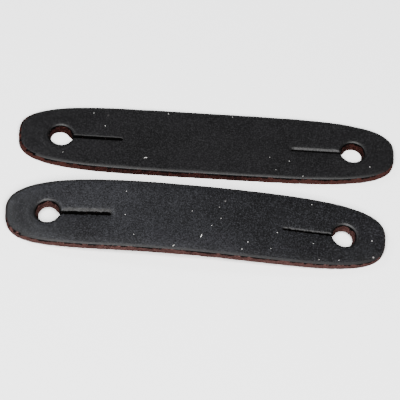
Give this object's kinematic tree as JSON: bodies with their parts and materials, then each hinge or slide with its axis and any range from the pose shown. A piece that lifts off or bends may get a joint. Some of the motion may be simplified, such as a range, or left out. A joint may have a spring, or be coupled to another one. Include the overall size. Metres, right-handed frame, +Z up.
{
  "type": "leather hand grip pair",
  "caption": "Pair of loose flat leather hand-grip straps with rounded ends, each with a slit button hole near either end",
  "frame": {"origin": "under the centre of the pair's bounding box, on the surface that the straps lie on", "axes": "+X along the straps, +Y from the front grip to the rear grip, +Z up out of the grain side"},
  "size_m": [0.1308, 0.0618, 0.0096],
  "materials": {
    "black_grip_leather": "satin black dyed grain side, burnished top edge, raw red-brown cut edge and flesh side"
  },
  "bodies": {
    "rear_grip": {"rear_grip": "black_grip_leather"},
    "front_grip": {"front_grip": "black_grip_leather"}
  },
  "joints": [
    {"name": "front_grip_lift", "type": "slide", "parent": "rear_grip", "child": "front_grip", "axis": [0, 0, 1], "range_m": [0, 0.06]}
  ]
}
